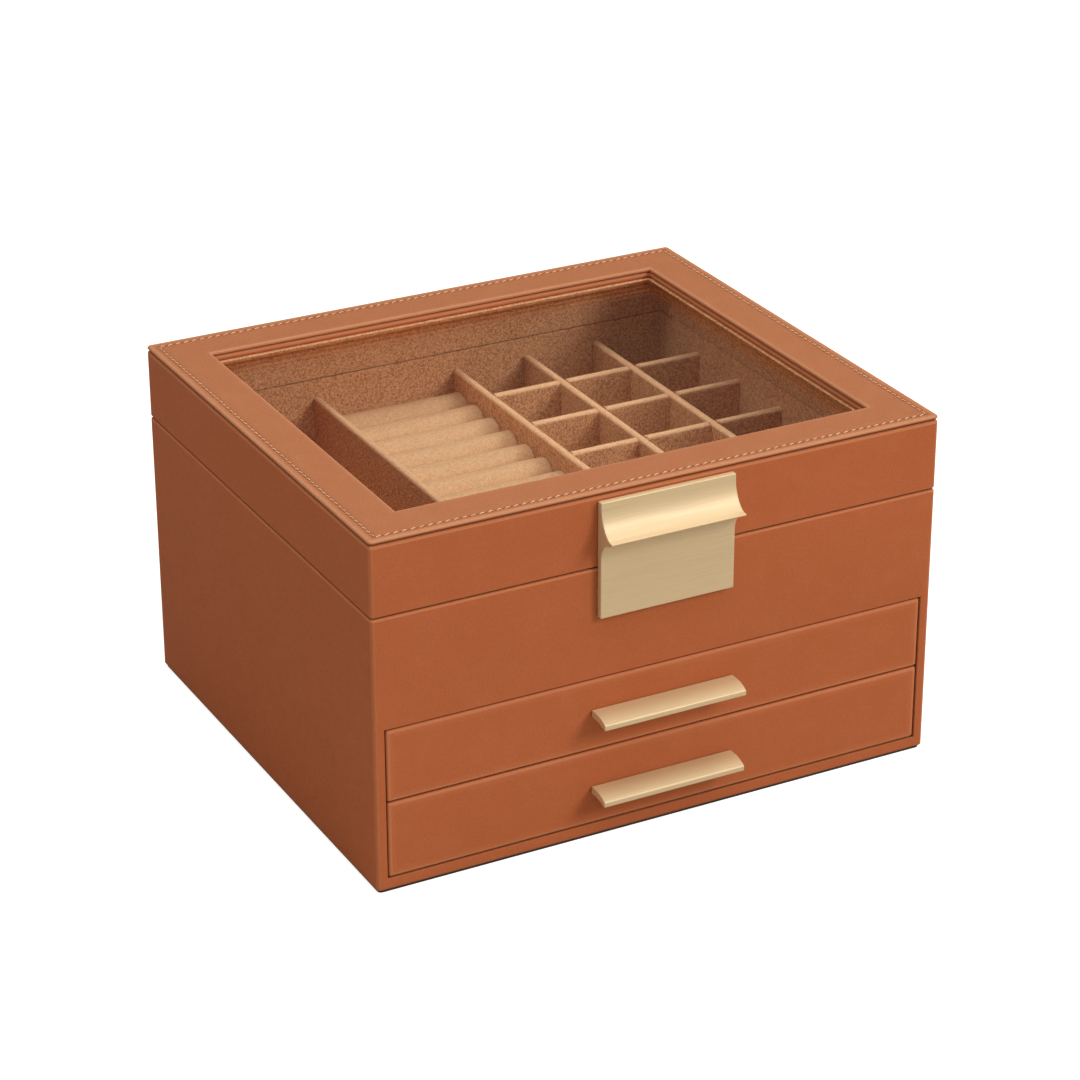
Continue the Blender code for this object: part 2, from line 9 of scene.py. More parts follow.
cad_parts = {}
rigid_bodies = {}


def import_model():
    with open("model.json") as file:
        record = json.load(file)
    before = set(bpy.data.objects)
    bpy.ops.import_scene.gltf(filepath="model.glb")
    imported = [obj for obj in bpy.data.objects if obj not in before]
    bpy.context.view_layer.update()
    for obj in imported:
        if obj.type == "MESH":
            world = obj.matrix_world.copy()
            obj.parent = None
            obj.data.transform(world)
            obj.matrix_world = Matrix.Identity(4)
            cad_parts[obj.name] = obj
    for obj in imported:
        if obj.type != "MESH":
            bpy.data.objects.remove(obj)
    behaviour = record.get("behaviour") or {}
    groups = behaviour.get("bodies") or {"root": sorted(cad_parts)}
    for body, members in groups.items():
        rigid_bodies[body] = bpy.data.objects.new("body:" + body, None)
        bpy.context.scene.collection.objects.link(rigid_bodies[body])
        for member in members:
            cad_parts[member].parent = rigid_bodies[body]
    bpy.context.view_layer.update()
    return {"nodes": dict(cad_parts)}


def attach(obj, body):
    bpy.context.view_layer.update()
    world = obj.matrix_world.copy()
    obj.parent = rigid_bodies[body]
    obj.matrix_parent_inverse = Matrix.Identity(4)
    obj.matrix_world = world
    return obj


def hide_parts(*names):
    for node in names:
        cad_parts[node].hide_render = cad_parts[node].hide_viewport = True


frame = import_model()

MM = 0.001
SCENE = bpy.context.scene
LOOK = bpy.data.collections.new("look")
SCENE.collection.children.link(LOOK)


# ------------------------------------------------------------------ node tools
class Mat:
    """A small helper that builds a node material."""

    def __init__(self, name):
        self.m = bpy.data.materials.new(name)
        self.m.use_nodes = True
        self.nt = self.m.node_tree
        self.nt.nodes.clear()
        self.out = self.nt.nodes.new("ShaderNodeOutputMaterial")
        self.bsdf = self.nt.nodes.new("ShaderNodeBsdfPrincipled")
        self.nt.links.new(self.bsdf.outputs[0], self.out.inputs[0])
        self.coord = self.nt.nodes.new("ShaderNodeTexCoord").outputs["Object"]

    def link(self, a, b):
        self.nt.links.new(a, b)

    def set(self, **kw):
        for k, v in kw.items():
            self.bsdf.inputs[k.replace("_", " ")].default_value = v

    def mapping(self, scale=(1, 1, 1), loc=(0, 0, 0), rot=(0, 0, 0)):
        n = self.nt.nodes.new("ShaderNodeMapping")
        n.inputs["Scale"].default_value = scale
        n.inputs["Location"].default_value = loc
        n.inputs["Rotation"].default_value = rot
        self.link(self.coord, n.inputs["Vector"])
        return n.outputs[0]

    def noise(self, scale, detail=2.0, rough=0.5, vector=None, distortion=0.0):
        n = self.nt.nodes.new("ShaderNodeTexNoise")
        n.inputs["Scale"].default_value = scale
        n.inputs["Detail"].default_value = detail
        n.inputs["Roughness"].default_value = rough
        n.inputs["Distortion"].default_value = distortion
        self.link(vector or self.coord, n.inputs["Vector"])
        return n.outputs["Fac"]

    def voronoi(self, scale, feature="DISTANCE_TO_EDGE", vector=None, randomness=1.0):
        n = self.nt.nodes.new("ShaderNodeTexVoronoi")
        n.feature = feature
        n.inputs["Scale"].default_value = scale
        n.inputs["Randomness"].default_value = randomness
        self.link(vector or self.coord, n.inputs["Vector"])
        return n.outputs["Distance"]

    def math(self, op, a, b=0.0, c=None, clamp=False):
        n = self.nt.nodes.new("ShaderNodeMath")
        n.operation = op
        n.use_clamp = clamp
        for i, v in enumerate((a, b) if c is None else (a, b, c)):
            if isinstance(v, (int, float)):
                n.inputs[i].default_value = v
            else:
                self.link(v, n.inputs[i])
        return n.outputs[0]

    def remap(self, v, a, b, c, d):
        n = self.nt.nodes.new("ShaderNodeMapRange")
        for i, x in zip((1, 2, 3, 4), (a, b, c, d)):
            n.inputs[i].default_value = x
        self.link(v, n.inputs[0])
        return n.outputs[0]

    def mix(self, fac, a, b, blend="MIX"):
        n = self.nt.nodes.new("ShaderNodeMix")
        n.data_type = "RGBA"
        n.blend_type = blend
        n.clamp_factor = True
        for s, v in ((n.inputs[0], fac), (n.inputs[6], a), (n.inputs[7], b)):
            if isinstance(v, (int, float)):
                s.default_value = v
            elif isinstance(v, tuple):
                s.default_value = (*v, 1.0)[:4]
            else:
                self.link(v, s)
        return n.outputs[2]

    def attribute(self, name):
        n = self.nt.nodes.new("ShaderNodeAttribute")
        n.attribute_name = name
        return n.outputs["Fac"]

    def bump(self, height, distance, strength=1.0, normal=None):
        n = self.nt.nodes.new("ShaderNodeBump")
        n.inputs["Strength"].default_value = strength
        n.inputs["Distance"].default_value = distance
        self.link(height, n.inputs["Height"])
        if normal is not None:
            self.link(normal, n.inputs["Normal"])
        return n.outputs[0]

    def colour(self, socket):
        self.link(socket, self.bsdf.inputs["Base Color"])

    def rough(self, socket):
        self.link(socket, self.bsdf.inputs["Roughness"])

    def normal(self, socket):
        self.link(socket, self.bsdf.inputs["Normal"])


def srgb(r, g, b):
    def f(c):
        c /= 255.0
        return c / 12.92 if c <= 0.04045 else ((c + 0.055) / 1.055) ** 2.4
    return (f(r), f(g), f(b))


# ------------------------------------------------------------------- materials
def leather(name, base, dark, light, grain=1.0, spec=0.05):
    """Smooth tan leather: fine pebble grain and faint pull-up marks, with painted highlight on rounded edges and
    painted shade in creases.
    """
    m = Mat(name)
    m.set(Specular_IOR_Level=spec, IOR=1.46)
    m.bsdf.inputs["Specular Tint"].default_value = (1.0, 0.88, 0.70, 1.0)
    cloud = m.noise(26.0, 3.0, 0.55)
    blotch = m.noise(95.0, 4.0, 0.6)
    fine = m.noise(900.0, 3.0, 0.65)
    speck = m.noise(3200.0, 2.0, 0.6)
    c = m.mix(m.remap(cloud, 0.30, 0.70, 0.80, 1.0), dark, base)
    c = m.mix(m.math("MULTIPLY", m.remap(blotch, 0.45, 0.75, 0.0, 1.0), 0.09), c, light)
    c = m.mix(m.math("MULTIPLY", m.remap(fine, 0.38, 0.68, 0.0, 1.0), 0.38), c, dark)
    c = m.mix(m.math("MULTIPLY", m.remap(speck, 0.50, 0.80, 0.0, 1.0), 0.38), c, light)
    # painted highlight: the edge weight lightens rounded edges, beads and corners where light catches them
    edge = m.attribute("edge")
    c = m.mix(m.math("MULTIPLY", edge, 0.60), c, light)
    # painted shade: this weight darkens grooves, undersides and joins where shade falls
    painted_crease_shade = m.attribute("painted_crease_shade")
    c = m.mix(m.math("MULTIPLY", painted_crease_shade, 0.75), c, tuple(x * 0.35 for x in dark))
    m.colour(c)
    cells = m.voronoi(1500.0, "DISTANCE_TO_EDGE")
    cells2 = m.voronoi(720.0, "DISTANCE_TO_EDGE")
    pebble = m.math("ADD", m.math("MULTIPLY", m.remap(cells, 0.0, 0.22, 0.0, 1.0), 0.6),
                    m.math("MULTIPLY", m.remap(cells2, 0.0, 0.16, 0.0, 1.0), 0.5))
    relief = m.math("ADD", pebble, m.math("MULTIPLY", fine, 0.8))
    n1 = m.bump(m.noise(48.0, 2.0, 0.5), 0.0009, 0.16 * grain)
    n2 = m.bump(relief, 0.00006, 0.75 * grain, n1)
    m.normal(n2)
    r = m.math("ADD", m.remap(blotch, 0.3, 0.7, 0.46, 0.56), m.math("MULTIPLY", pebble, -0.05))
    m.rough(m.math("SUBTRACT", r, m.math("MULTIPLY", edge, 0.05)))
    return m.m


def velvet(name, base, dark, light, sheen=0.22, nap=1.0, contrast=1.0):
    """Short-nap velvet suede: fine tufts, fibre speckle and a faint brushed direction."""
    m = Mat(name)
    m.set(Specular_IOR_Level=0.10, Sheen_Weight=sheen, Sheen_Roughness=0.40)
    m.bsdf.inputs["Sheen Tint"].default_value = (*base, 1.0)
    brushed = m.noise(30.0, 3.0, 0.6, distortion=0.6)
    tuft = m.noise(1080.0, 2.0, 0.6, distortion=0.7)
    fibre = m.noise(3100.0, 2.0, 0.7)
    c = m.mix(m.remap(tuft, 0.38, 0.60, 0.5 - 0.5 * contrast, 0.5 + 0.5 * contrast), dark, base)
    c = m.mix(m.math("MULTIPLY", m.remap(fibre, 0.46, 0.70, 0.0, 1.0), 0.55 * contrast), c, light)
    c = m.mix(m.math("MULTIPLY", m.remap(brushed, 0.5, 0.72, 0.0, 1.0), 0.12), c, light)
    # painted highlight: the edge weight lightens divider tops where the light falls
    c = m.mix(m.math("MULTIPLY", m.attribute("edge"), 0.55), c, light)
    # painted shade: this weight darkens floor corners, divider feet and roll valleys
    c = m.mix(m.math("MULTIPLY", m.attribute("painted_crease_shade"), 0.6), c, tuple(x * 0.45 for x in dark))
    m.colour(c)
    m.rough(m.remap(tuft, 0.3, 0.7, 0.86, 0.97))
    h = m.math("ADD", m.math("MULTIPLY", tuft, 1.0), m.math("MULTIPLY", fibre, 0.5))
    m.normal(m.bump(h, 0.00048, 0.85 * nap))
    return m.m


def brass(name, base, brush_axis="X", rough=(0.50, 0.60), line=1.0):
    """Champagne brass with a fine linear brush along brush_axis."""
    m = Mat(name)
    m.set(Metallic=0.28, Specular_IOR_Level=0.5, Coat_Weight=0.70, Coat_Roughness=0.42)
    along, across = 22.0, 5200.0
    scale = {"X": (along, across, across), "Z": (across, across, along)}[brush_axis]
    streak = m.noise(1.0, 2.0, 0.6, m.mapping(scale))
    scale2 = {"X": (60.0, 1700.0, 1700.0), "Z": (1700.0, 1700.0, 60.0)}[brush_axis]
    streak2 = m.noise(1.0, 3.0, 0.7, m.mapping(scale2, (3.1, 1.7, 0.4)))
    cloud = m.noise(60.0, 2.0, 0.5)
    both = m.math("ADD", m.math("MULTIPLY", streak, 0.6), m.math("MULTIPLY", streak2, 0.4))
    dark = tuple(x * 0.93 for x in base)
    light = tuple(min(1.0, x * 1.05) for x in base)
    c = m.mix(m.remap(both, 0.35, 0.65, 0.0, 1.0), dark, light)
    c = m.mix(m.math("MULTIPLY", cloud, 0.25), c, base)
    m.colour(c)
    m.rough(m.remap(both, 0.3, 0.7, rough[1], rough[0]))
    m.normal(m.bump(both, 0.00003, 0.40 * line))
    return m.m


def steel(name, base=(0.55, 0.55, 0.54), rough=0.32):
    m = Mat(name)
    m.set(Metallic=1.0)
    fine = m.noise(1400.0, 3.0, 0.6)
    m.colour(m.mix(m.remap(fine, 0.3, 0.7, 0.0, 1.0), tuple(x * 0.85 for x in base), base))
    m.rough(m.remap(fine, 0.3, 0.7, rough - 0.06, rough + 0.1))
    m.normal(m.bump(fine, 0.00002, 0.4))
    return m.m


def board(name, base):
    """Fibreboard: pressed flecks and a faint saw texture."""
    m = Mat(name)
    m.set(Specular_IOR_Level=0.25)
    flecks = m.voronoi(900.0, "F1")
    cloud = m.noise(120.0, 4.0, 0.65)
    c = m.mix(m.remap(flecks, 0.1, 0.7, 0.0, 1.0), tuple(x * 0.7 for x in base), tuple(x * 1.15 for x in base))
    m.colour(m.mix(m.math("MULTIPLY", cloud, 0.5), c, base))
    m.rough(m.remap(cloud, 0.3, 0.7, 0.74, 0.9))
    m.normal(m.bump(m.math("ADD", flecks, cloud), 0.00015, 0.5))
    return m.m


def felt(name, base):
    m = Mat(name)
    m.set(Sheen_Weight=0.25, Sheen_Roughness=0.6, Specular_IOR_Level=0.1)
    fibre = m.noise(1500.0, 4.0, 0.75, distortion=1.5)
    m.colour(m.mix(m.remap(fibre, 0.35, 0.7, 0.0, 1.0), tuple(x * 0.5 for x in base), tuple(x * 2.2 for x in base)))
    m.rough(m.remap(fibre, 0.3, 0.7, 0.88, 1.0))
    m.normal(m.bump(fibre, 0.0003, 0.8))
    return m.m


def glass(name):
    """Clear float glass that lets light through to what is under it."""
    m = Mat(name)
    m.set(Roughness=0.01, IOR=1.36)
    m.bsdf.inputs["Base Color"].default_value = (0.993, 0.998, 0.994, 1.0)
    m.bsdf.inputs["Transmission Weight"].default_value = 1.0
    path = m.nt.nodes.new("ShaderNodeLightPath")
    clear = m.nt.nodes.new("ShaderNodeBsdfTransparent")
    clear.inputs[0].default_value = (0.993, 0.998, 0.994, 1.0)
    pick = m.nt.nodes.new("ShaderNodeMixShader")
    either = m.math("MAXIMUM", path.outputs["Is Shadow Ray"], path.outputs["Is Diffuse Ray"])
    m.link(either, pick.inputs[0])
    m.link(m.bsdf.outputs[0], pick.inputs[1])
    m.link(clear.outputs[0], pick.inputs[2])
    m.link(pick.outputs[0], m.out.inputs[0])
    return m.m


LEATHER = leather("tan_leather", srgb(182, 101, 62), srgb(169, 88, 50), srgb(210, 138, 97))
# painted sheen: a lighter, paler copy of the leather for the lid top, standing in for light reflected on the top
LEATHER_PAINTED_TOP_SHEEN = leather("tan_leather_painted_top_sheen", srgb(175, 111, 75), srgb(163, 98, 62), srgb(208, 148, 110), spec=0.16)
VELVET = velvet("beige_velvet", srgb(227, 166, 117), srgb(172, 108, 68), srgb(248, 204, 160))
ROLL_VELVET = velvet("roll_velvet", srgb(230, 185, 142), srgb(208, 158, 114), srgb(244, 210, 172), 0.25, 0.7, 0.7)
THREAD = velvet("thread", srgb(238, 186, 148), srgb(214, 156, 116), srgb(250, 210, 176), 0.2, 0.6)
BRASS = brass("champagne_brass", (0.745, 0.555, 0.312))
HINGE_BRASS = brass("hinge_brass", (0.78, 0.55, 0.30), "Z", (0.34, 0.46))
STEEL = steel("zinc_steel")
BOARD = board("fibreboard", srgb(150, 112, 78))
PAPER = velvet("lining_paper", srgb(178, 134, 98), srgb(150, 108, 76), srgb(204, 160, 122), 0.15, 0.5, 0.7)
FELT = felt("black_felt", (0.012, 0.011, 0.010))
GLASS = glass("clear_glass")


# ----------------------------------------------------------------- mesh helpers
def loop_points(hx, hy, r, n=6, cx=0.0, cy=0.0):
    """A rounded rectangle, anticlockwise from the +X side: 4 * (n + 1) points."""
    r = max(r, 0.02)
    pts = []
    for k, (sx, sy) in enumerate(((1, 1), (-1, 1), (-1, -1), (1, -1))):
        for i in range(n + 1):
            a = math.radians(90.0 * k + 90.0 * i / n)
            pts.append((cx + sx * (hx - r) + r * math.cos(a), cy + sy * (hy - r) + r * math.sin(a)))
    return pts


def finish_mesh(name, bm, mat, smooth_angle=35.0, merge=None):
    if merge:
        bmesh.ops.remove_doubles(bm, verts=bm.verts, dist=merge)
    bmesh.ops.recalc_face_normals(bm, faces=bm.faces)
    me = bpy.data.meshes.new(name)
    bm.to_mesh(me)
    bm.free()
    ob = bpy.data.objects.new(name, me)
    LOOK.objects.link(ob)
    me.materials.append(mat)
    me.shade_smooth()
    me.set_sharp_from_angle(angle=math.radians(smooth_angle))
    return ob


def sweep(name, loops, mat, closed=False, place=None, smooth_angle=35.0, n=6, corner=0.0):
    """Skins rounded-rectangle loops (hx, hy, r, z[, edge[, shade]]) in millimetres; edge is a painted highlight
    weight, shade a painted shade weight, and corner adds painted highlight on the corner arcs.  Closed joins
    the last loop to the first, else both ends are capped.  place maps (x, y, z)."""
    bm = bmesh.new()
    edge = bm.verts.layers.float.new("edge")
    painted_crease_shade = bm.verts.layers.float.new("painted_crease_shade")
    rings = []
    for lp in loops:
        hx, hy, r, z = lp[:4]
        ring = []
        for j, (x, y) in enumerate(loop_points(hx, hy, r, n)):
            p = (x, y, z) if place is None else place(x, y, z)
            v = bm.verts.new(Vector(p) * MM)
            # painted highlight from the edge value, plus corner on the corner arcs; painted shade from the sixth value
            v[edge] = min(1.0, (lp[4] if len(lp) > 4 else 0.0) + (corner if 0 < j % (n + 1) < n else 0.0))
            v[painted_crease_shade] = lp[5] if len(lp) > 5 else 0.0
            ring.append(v)
        rings.append(ring)
    count = len(rings)
    for i in range(count if closed else count - 1):
        a, b = rings[i], rings[(i + 1) % count]
        for j in range(len(a)):
            k = (j + 1) % len(a)
            bm.faces.new((a[j], a[k], b[k], b[j]))
    if not closed:
        bm.faces.new(rings[0])
        bm.faces.new(rings[-1])
    return finish_mesh(name, bm, mat, smooth_angle)


def arc(c_d, c_z, r, a0, a1, n=5):
    """Points (d, z) on an arc about (c_d, c_z); angles in degrees, 0 along +d, 90 up."""
    return [(c_d + r * math.cos(math.radians(a0 + (a1 - a0) * i / n)),
             c_z + r * math.sin(math.radians(a0 + (a1 - a0) * i / n))) for i in range(n + 1)]


def ring_loops(profile, hx, hy, corner, inner_r=0.5, half_width=19.0):
    """Turns (inset, z[, edge, crease]) points into loops; the corner radius falls from
    the outer corner's to the inner corner's."""
    out = []
    for p in profile:
        d, z = p[0], p[1]
        r = max(corner - d, 0.35) if d < half_width * 0.5 else inner_r
        out.append((hx - d, hy - d, r, z, *(p[2:])))
    return out


def link_body(ob, body, slot, *nodes):
    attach(ob, body)
    if nodes:
        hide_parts(*nodes)
    return ob


def apply_modifiers(ob):
    dg = bpy.context.evaluated_depsgraph_get()
    dg.update()
    me = bpy.data.meshes.new_from_object(ob.evaluated_get(dg))
    old = ob.data
    ob.modifiers.clear()
    ob.data = me
    if old.users == 0:
        bpy.data.meshes.remove(old)
    return ob


def box_bm(lo, hi):
    bm = bmesh.new()
    lo, hi = Vector(lo) * MM, Vector(hi) * MM
    s = hi - lo
    bmesh.ops.create_cube(bm, size=1.0, matrix=Matrix.Translation((lo + hi) / 2) @ Matrix.Diagonal((*s, 1.0)))
    return bm


def box_object(name, lo, hi, mat):
    return finish_mesh(name, box_bm(lo, hi), mat)


def cut(ob, *cutters):
    """Cuts ob with boxes (lo, hi), applied to the mesh."""
    made = []
    for i, (lo, hi) in enumerate(cutters):
        c = box_object("cutter", lo, hi, LEATHER)
        mod = ob.modifiers.new("cut", "BOOLEAN")
        mod.operation, mod.solver, mod.object = "DIFFERENCE", "EXACT", c
        made.append(c)
    apply_modifiers(ob)
    for c in made:
        bpy.data.objects.remove(c, do_unlink=True)
    return ob


def bevel_edges(ob, pick, width, segments=4):
    """Bevels the edges for which pick(a, b) is true, in millimetres."""
    bm = bmesh.new()
    bm.from_mesh(ob.data)
    chosen = [e for e in bm.edges if pick(e.verts[0].co / MM, e.verts[1].co / MM)]
    if chosen:
        bmesh.ops.bevel(bm, geom=chosen, offset=width * MM, segments=segments, profile=0.5,
                        affect='EDGES', clamp_overlap=True)
    bmesh.ops.recalc_face_normals(bm, faces=bm.faces)
    bm.to_mesh(ob.data)
    bm.free()
    ob.data.shade_smooth()
    ob.data.set_sharp_from_angle(angle=math.radians(35))
    return ob


def soft_bevel(ob, width, segments=2, angle=40.0):
    mod = ob.modifiers.new("bevel", "BEVEL")
    mod.width = width * MM
    mod.segments = segments
    mod.limit_method = "ANGLE"
    mod.angle_limit = math.radians(angle)
    mod.harden_normals = True
    mod.miter_outer = "MITER_ARC"
    return ob


# ------------------------------------------------------------------ dimensions
HX, HY, TOP = 115.0, 100.0, 138.0
SEAM = 108.6
CORNER = 1.5

# ------------------------------------------------------- lid: stitched top panel
t0, t1 = 136.55, TOP
rad = (t1 - t0) / 2 - 0.005
mid = (t0 + t1) / 2
# painted shade (fourth value) under the rounded edges, in the stitch groove and on the glued bed; painted highlight
# (third value) on the rounded edges
prof = [(d, z, 0.2, 0.5 if z < mid else 0.0) for d, z in arc(rad, mid, rad, 270, 180, 5)]
prof += [(d, z, 0.9) for d, z in arc(rad, mid, rad, 162, 90, 4)]
prof += [(1.4, t1 - 0.004, 0.6), (2.2, t1 - 0.03, 0.2), (2.75, t1 - 0.10, 0.0, 0.15), (3.15, t1 - 0.24, 0, 0.35),
         (3.45, t1 - 0.33, 0, 0.6), (3.6, t1 - 0.35, 0, 0.7), (3.75, t1 - 0.33, 0, 0.6), (4.05, t1 - 0.24, 0, 0.35),
         (4.5, t1 - 0.10, 0, 0.1), (5.3, t1 - 0.03), (6.8, t1 - 0.01), (9.5, t1 - 0.02), (13.0, t1 - 0.02),
         (16.5, t1 - 0.01), (17.8, t1 - 0.004, 0.2)]
prof += [(d, z, 0.8) for d, z in arc(19.0 - rad, mid, rad, 90, 0, 6)]
prof += [(19.0, t0 + 0.35, 0.3), (18.95, t0 + 0.12, 0.1, 0.3), (18.75, t0, 0.0, 0.5)]
# the glued bed under the panel, set back from both edges
prof += [(18.2, t0, 0, 0.7), (18.2, 136.14, 0, 0.8), (9.0, 136.14, 0, 0.8), (1.2, 136.14, 0, 0.8), (1.2, t0, 0, 0.7)]
panel = sweep("lid_top_cover", ring_loops(prof, HX, HY, CORNER), LEATHER_PAINTED_TOP_SHEEN, closed=True, smooth_angle=60)
link_body(panel, "lid", "leather", "lid_top_panel")

# stitching: slanted thread bars sunk in the groove, all round the panel
def stitch_run(bm, edge, p0, p1, up, pitch=3.28, length=2.75, half_w=0.26, slant=17.0):
    p0, p1 = Vector(p0), Vector(p1)
    along = (p1 - p0).normalized()
    side = Vector(up).cross(along)
    count = int(round((p1 - p0).length / pitch))
    step = (p1 - p0).length / count
    for i in range(count):
        c = p0 + along * (step * (i + 0.5))
        wob = noise.noise(c * 0.9) * 0.9
        a = math.radians(slant + wob * 3.0)
        t = along * math.cos(a) + side * math.sin(a)
        s = Vector(up).cross(t)
        rings = []
        n_l, n_c = 6, 6
        for k in range(n_l + 1):
            u = -1 + 2 * k / n_l
            swell = math.sqrt(max(0.0, 1 - abs(u) ** 3.2))
            sink = -0.30 * abs(u) ** 2.4
            ring = []
            if k in (0, n_l):
                ring = [bm.verts.new((c + t * (u * length / 2) + Vector(up) * (sink)) * MM)]
            else:
                twist = 0.05 * math.sin(k * 1.9 + i)
                for q in range(n_c):
                    b = 2 * math.pi * q / n_c
                    ring.append(bm.verts.new((c + t * (u * length / 2)
                                              + s * (half_w * swell * math.cos(b) + twist)
                                              + Vector(up) * (0.22 * swell * math.sin(b) + sink + 0.11)) * MM))
            rings.append(ring)
        for k in range(n_l):
            a_, b_ = rings[k], rings[k + 1]
            for q in range(n_c):
                w = (q + 1) % n_c
                if len(a_) == 1:
                    bm.faces.new((a_[0], b_[w], b_[q]))
                elif len(b_) == 1:
                    bm.faces.new((a_[q], a_[w], b_[0]))
                else:
                    bm.faces.new((a_[q], a_[w], b_[w], b_[q]))


bm = bmesh.new()
sz = TOP - 0.24
ix, iy = HX - 3.6, HY - 3.6
stitch_run(bm, None, (-ix, -iy, sz), (ix, -iy, sz), (0, 0, 1))
stitch_run(bm, None, (ix, -iy, sz), (ix, iy, sz), (0, 0, 1))
stitch_run(bm, None, (ix, iy, sz), (-ix, iy, sz), (0, 0, 1))
stitch_run(bm, None, (-ix, iy, sz), (-ix, -iy, sz), (0, 0, 1))
threads = finish_mesh("lid_stitching", bm, THREAD, 180)
link_body(threads, "lid", "leather")

# ------------------------------------------------------------- lid: skirt leather
lo_z, hi_z = SEAM + 0.3, 136.1
r1, r0 = 1.0, 0.65
# painted shade (fourth value) under the top panel and along the bead's foot; painted highlight (third value) on the
# bead, which sits in shade, on the rounded edges and, with corner, on the corner arcs
prof = [(18.35, 133.9, 0, 0.5)]
prof += [(d, z, 1.0) for d, z in arc(17.90, 135.12, 1.12, -66, 82, 11)]
prof += [(17.2, hi_z, 0, 0.4), (12.0, hi_z, 0, 0.6), (4.0, hi_z, 0, 0.8), (1.6, hi_z, 0, 0.7)]
prof += [(d, z, 0.2 + 0.6 * i / 5) for i, (d, z) in enumerate(arc(r1, hi_z - r1, r1, 90, 180, 6))]
prof += [(0.0, hi_z - r1 - 0.3), (0.0, hi_z - r1 - 4.0), (0.0, lo_z + r0 + 4.0), (0.0, lo_z + r0 + 0.25)]
prof += [(d, z, 0.5, 0.25) for d, z in arc(r0, lo_z + r0, r0, 180, 270, 5)]
prof += [(3.7, lo_z, 0, 0.5), (3.7, lo_z + 0.8), (0.8, lo_z + 0.8), (0.8, 135.3), (18.2, 135.3), (18.2, 133.9)]
skirt = sweep("lid_cover", ring_loops(prof, HX, HY, CORNER, 0.45), LEATHER, closed=True, smooth_angle=50, corner=0.45)
link_body(skirt, "lid", "leather", "lid_leather")

# ---------------------------------------------------------------- case: leather
lo_z, hi_z = 1.05, SEAM - 0.3
r1, r0 = 0.75, 0.6
# painted highlight (third value) on the rounded top and bottom edges and, with corner, on the corner arcs; painted
# shade (fourth value) along the bottom edge
prof = [(d, z, 0.3, 0.4) for d, z in arc(r0, lo_z + r0, r0, 270, 180, 4)]
prof += [(0.0, lo_z + r0 + 0.25), (0.0, lo_z + r0 + 4), (0.0, hi_z - r1 - 4.0), (0.0, hi_z - r1 - 0.25)]
prof += [(d, z, 0.75) for d, z in arc(r1, hi_z - r1, r1, 180, 90, 5)]
prof += [(1.6, hi_z), (4.0, hi_z), (4.0, hi_z - 0.8), (0.8, hi_z - 0.8), (0.8, lo_z)]
cover = sweep("case_cover", ring_loops(prof, HX, HY, CORNER, 0.4), LEATHER, closed=True, smooth_angle=50, corner=0.45)
DX, DZ0, DZ1 = 110.9, 5.35, 65.0
cut(cover, ((-DX, -HY - 2, DZ0), (DX, -HY + 2, DZ1)))


def opening_edge(a, b):
    if abs(a.y + HY) > 0.01 or abs(b.y + HY) > 0.01:
        return False
    on = lambda p, q: (abs(abs(p.x) - DX) < 0.01 and abs(abs(q.x) - DX) < 0.01 and abs(p.x - q.x) < 0.01) or \
        (abs(p.z - q.z) < 0.01 and min(abs(p.z - DZ0), abs(p.z - DZ1)) < 0.01
         and abs(p.x) < DX + 0.01 and abs(q.x) < DX + 0.01)
    return on(a, b)


bevel_edges(cover, opening_edge, 0.75, 4)
link_body(cover, "case", "leather", "case_leather")

# --------------------------------------------------------------- drawer fronts
def drawer_front(name, z0, z1, body, node):
    hz, cz = (z1 - z0) / 2, (z0 + z1) / 2
    hx = DX - 0.5
    y_back, y_front = -96.2, -HY
    r = 1.05
    # painted highlight (fifth value) on the rounded front edge; painted shade (sixth value) on the edge's back half,
    # in the gap
    loops = [(hx - 0.3, hz - 0.3, 0.5, y_back, 0), (hx, hz, 0.8, y_back - 0.3, 0), (hx, hz, 0.8, y_front + r + 0.2, 0, 0.4)]
    for i in range(6):
        a = math.radians(90.0 * i / 5)
        loops.append((hx - r + r * math.cos(a), hz - r + r * math.cos(a), max(0.8 - (r - r * math.cos(a)), 0.15) + 0.1,
                      y_front + r - r * math.sin(a), 0.75 if i > 1 else 0.2, 0.0 if i > 1 else 0.3))
    loops.append((hx - r - 0.5, hz - r - 0.5, 0.3, y_front, 0.2))
    loops.append((hx - r - 2.5, hz - r - 2.5, 0.3, y_front, 0.0))
    ob = sweep(name, loops, LEATHER, place=lambda x, y, z: (x, z, cz + y), smooth_angle=50)
    return link_body(ob, body, "leather", node)


drawer_front("upper_drawer_cover", 36.25, 64.5, "upper_drawer", "upper_drawer_front")
drawer_front("lower_drawer_cover", 5.85, 35.75, "lower_drawer", "lower_drawer_front")

# ------------------------------------------------------------ compartment lining
LX, LY, LT = 110.85, 95.85, 1.25
IX, IY = LX - LT, LY - LT
FLOOR, LIP = 68.8, 111.0
# painted shade (fourth value) in the corner between walls and floor
prof = [(0.3, 67.55), (0.0, 67.85), (0.0, 100.0), (0.0, LIP - 0.7)]
prof += [(d, z) for d, z in arc(0.55, LIP - 0.55, 0.55, 180, 90, 5)]
prof += [(d, z) for d, z in arc(LT - 0.28, LIP - 0.28, 0.28, 90, 0, 4)]
prof += [(LT, LIP - 1.0), (LT, 90.0), (LT, FLOOR + 2.4), (LT, FLOOR + 1.2, 0, 0.3)]
prof += [(d, z, 0, 0.6) for d, z in arc(LT + 0.9, FLOOR + 0.9, 0.9, 180, 270, 4)]
prof += [(LT + 2.0, FLOOR, 0, 0.3), (LT + 4.0, FLOOR)]
loops = []
for p in prof:
    d = p[0]
    loops.append((LX - d, LY - d, 1.0 if d < LT * 0.6 else 0.5, p[1], *(p[2:])))
lining = sweep("compartment_velvet", loops, VELVET, smooth_angle=60)
link_body(lining, "case", "velvet", "compartment_lining")

